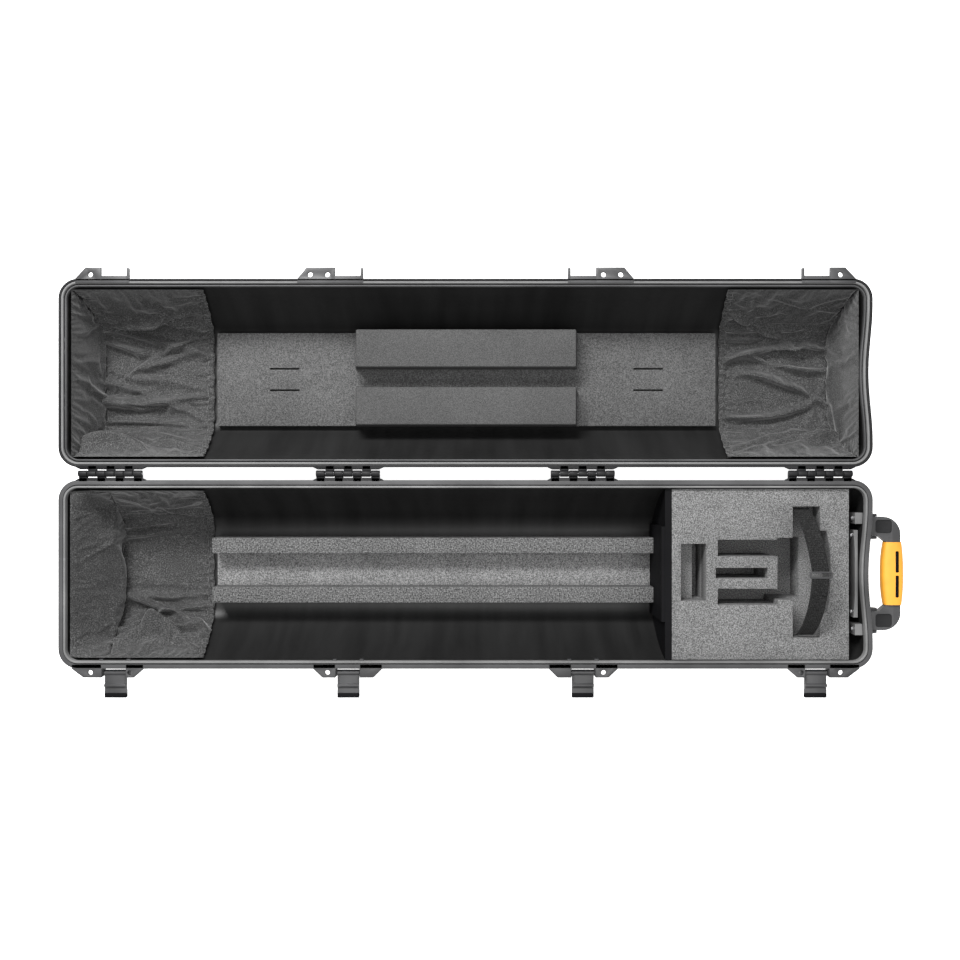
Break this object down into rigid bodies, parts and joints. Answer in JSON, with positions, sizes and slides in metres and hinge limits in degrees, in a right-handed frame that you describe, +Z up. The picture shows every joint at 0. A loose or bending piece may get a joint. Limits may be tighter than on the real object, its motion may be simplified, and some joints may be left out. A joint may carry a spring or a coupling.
{
  "type": "telescope carry case",
  "caption": "Long wheeled hard case for a telescope, open flat, with a hinged lid, hook latches, a folding end handle, cut foam and gathered fabric end linings.",
  "frame": {"origin": "on the resting surface, under the middle of the whole open case's box", "axes": "+X along the case towards the handle end, +Y across the hinges towards the lid, +Z up"},
  "size_m": [1.4522, 0.736, 0.1983],
  "materials": {
    "shell_plastic": "lightly textured moulded plastic",
    "latch_plastic": "satin moulded plastic",
    "fitting_plastic": "satin moulded plastic",
    "board_plastic": "smooth sheet",
    "foam": "closed-cell foam, cut faces",
    "pouch_fabric": "woven nylon",
    "strap_webbing": "hook-and-loop webbing",
    "steel": "brushed",
    "seal_rubber": "foamed rubber",
    "grip_rubber": "soft moulded rubber",
    "tyre_rubber": "solid rubber"
  },
  "bodies": {
    "base": {"base_shell": "shell_plastic", "hinge_pins": "steel", "latch_pins": "steel", "wheel_axle_1": "steel", "wheel_axle_2": "steel", "handle_pins": "steel", "handle_backing_bar": "fitting_plastic", "handle_mount_blocks": "fitting_plastic", "handle_screws": "steel", "purge_valve_body": "fitting_plastic", "purge_valve_cap": "fitting_plastic", "base_pouch": "pouch_fabric", "base_pouch_hem": "pouch_fabric", "rail_floor": "foam", "rail_ridge_rear": "foam", "rail_ridge_front": "foam", "divider_board": "board_plastic", "divider_doubler": "board_plastic", "foam_block_bottom": "foam", "foam_block_middle": "foam", "foam_block_top": "foam", "strap_rear": "strap_webbing", "strap_front": "strap_webbing", "strap_ring": "steel"},
    "lid": {"lid_shell": "shell_plastic", "lid_gasket": "seal_rubber", "lid_foam_slab": "foam", "lid_foam_block_rear": "foam", "lid_foam_block_front": "foam", "lid_pouch_left": "pouch_fabric", "lid_pouch_left_hem": "pouch_fabric", "lid_pouch_right": "pouch_fabric", "lid_pouch_right_hem": "pouch_fabric"},
    "latch_1": {"latch_lever_1": "latch_plastic"},
    "latch_2": {"latch_lever_2": "latch_plastic"},
    "latch_3": {"latch_lever_3": "latch_plastic"},
    "latch_4": {"latch_lever_4": "latch_plastic"},
    "end_handle": {"handle_frame": "fitting_plastic", "handle_grip": "grip_rubber"},
    "wheel_1": {"wheel_tyre_1": "tyre_rubber", "wheel_hub_1": "fitting_plastic", "wheel_bush_1": "fitting_plastic"},
    "wheel_2": {"wheel_tyre_2": "tyre_rubber", "wheel_hub_2": "fitting_plastic", "wheel_bush_2": "fitting_plastic"}
  },
  "joints": [
    {"name": "lid_hinge", "type": "hinge", "parent": "base", "child": "lid", "pos_m": [-0.0289, 0.016, 0.143], "axis": [1, 0, 0], "range_deg": [0, 180]},
    {"name": "latch_1_hinge", "type": "hinge", "parent": "base", "child": "latch_1", "pos_m": [-0.6289, -0.325, 0.131], "axis": [-1, 0, 0], "range_deg": [0, 90]},
    {"name": "latch_2_hinge", "type": "hinge", "parent": "base", "child": "latch_2", "pos_m": [-0.2299, -0.325, 0.131], "axis": [-1, 0, 0], "range_deg": [0, 90]},
    {"name": "latch_3_hinge", "type": "hinge", "parent": "base", "child": "latch_3", "pos_m": [0.1721, -0.325, 0.131], "axis": [-1, 0, 0], "range_deg": [0, 90]},
    {"name": "latch_4_hinge", "type": "hinge", "parent": "base", "child": "latch_4", "pos_m": [0.5711, -0.325, 0.131], "axis": [-1, 0, 0], "range_deg": [0, 90]},
    {"name": "handle_fold", "type": "hinge", "parent": "base", "child": "end_handle", "pos_m": [0.6731, -0.156, 0.118], "axis": [0, 1, 0], "range_deg": [0, 90]},
    {"name": "wheel_1_spin", "type": "hinge", "parent": "base", "child": "wheel_1", "pos_m": [-0.6969, -0.251, 0.0285], "axis": [0, 1, 0], "continuous": true},
    {"name": "wheel_2_spin", "type": "hinge", "parent": "base", "child": "wheel_2", "pos_m": [-0.6969, -0.061, 0.0285], "axis": [0, 1, 0], "continuous": true}
  ]
}
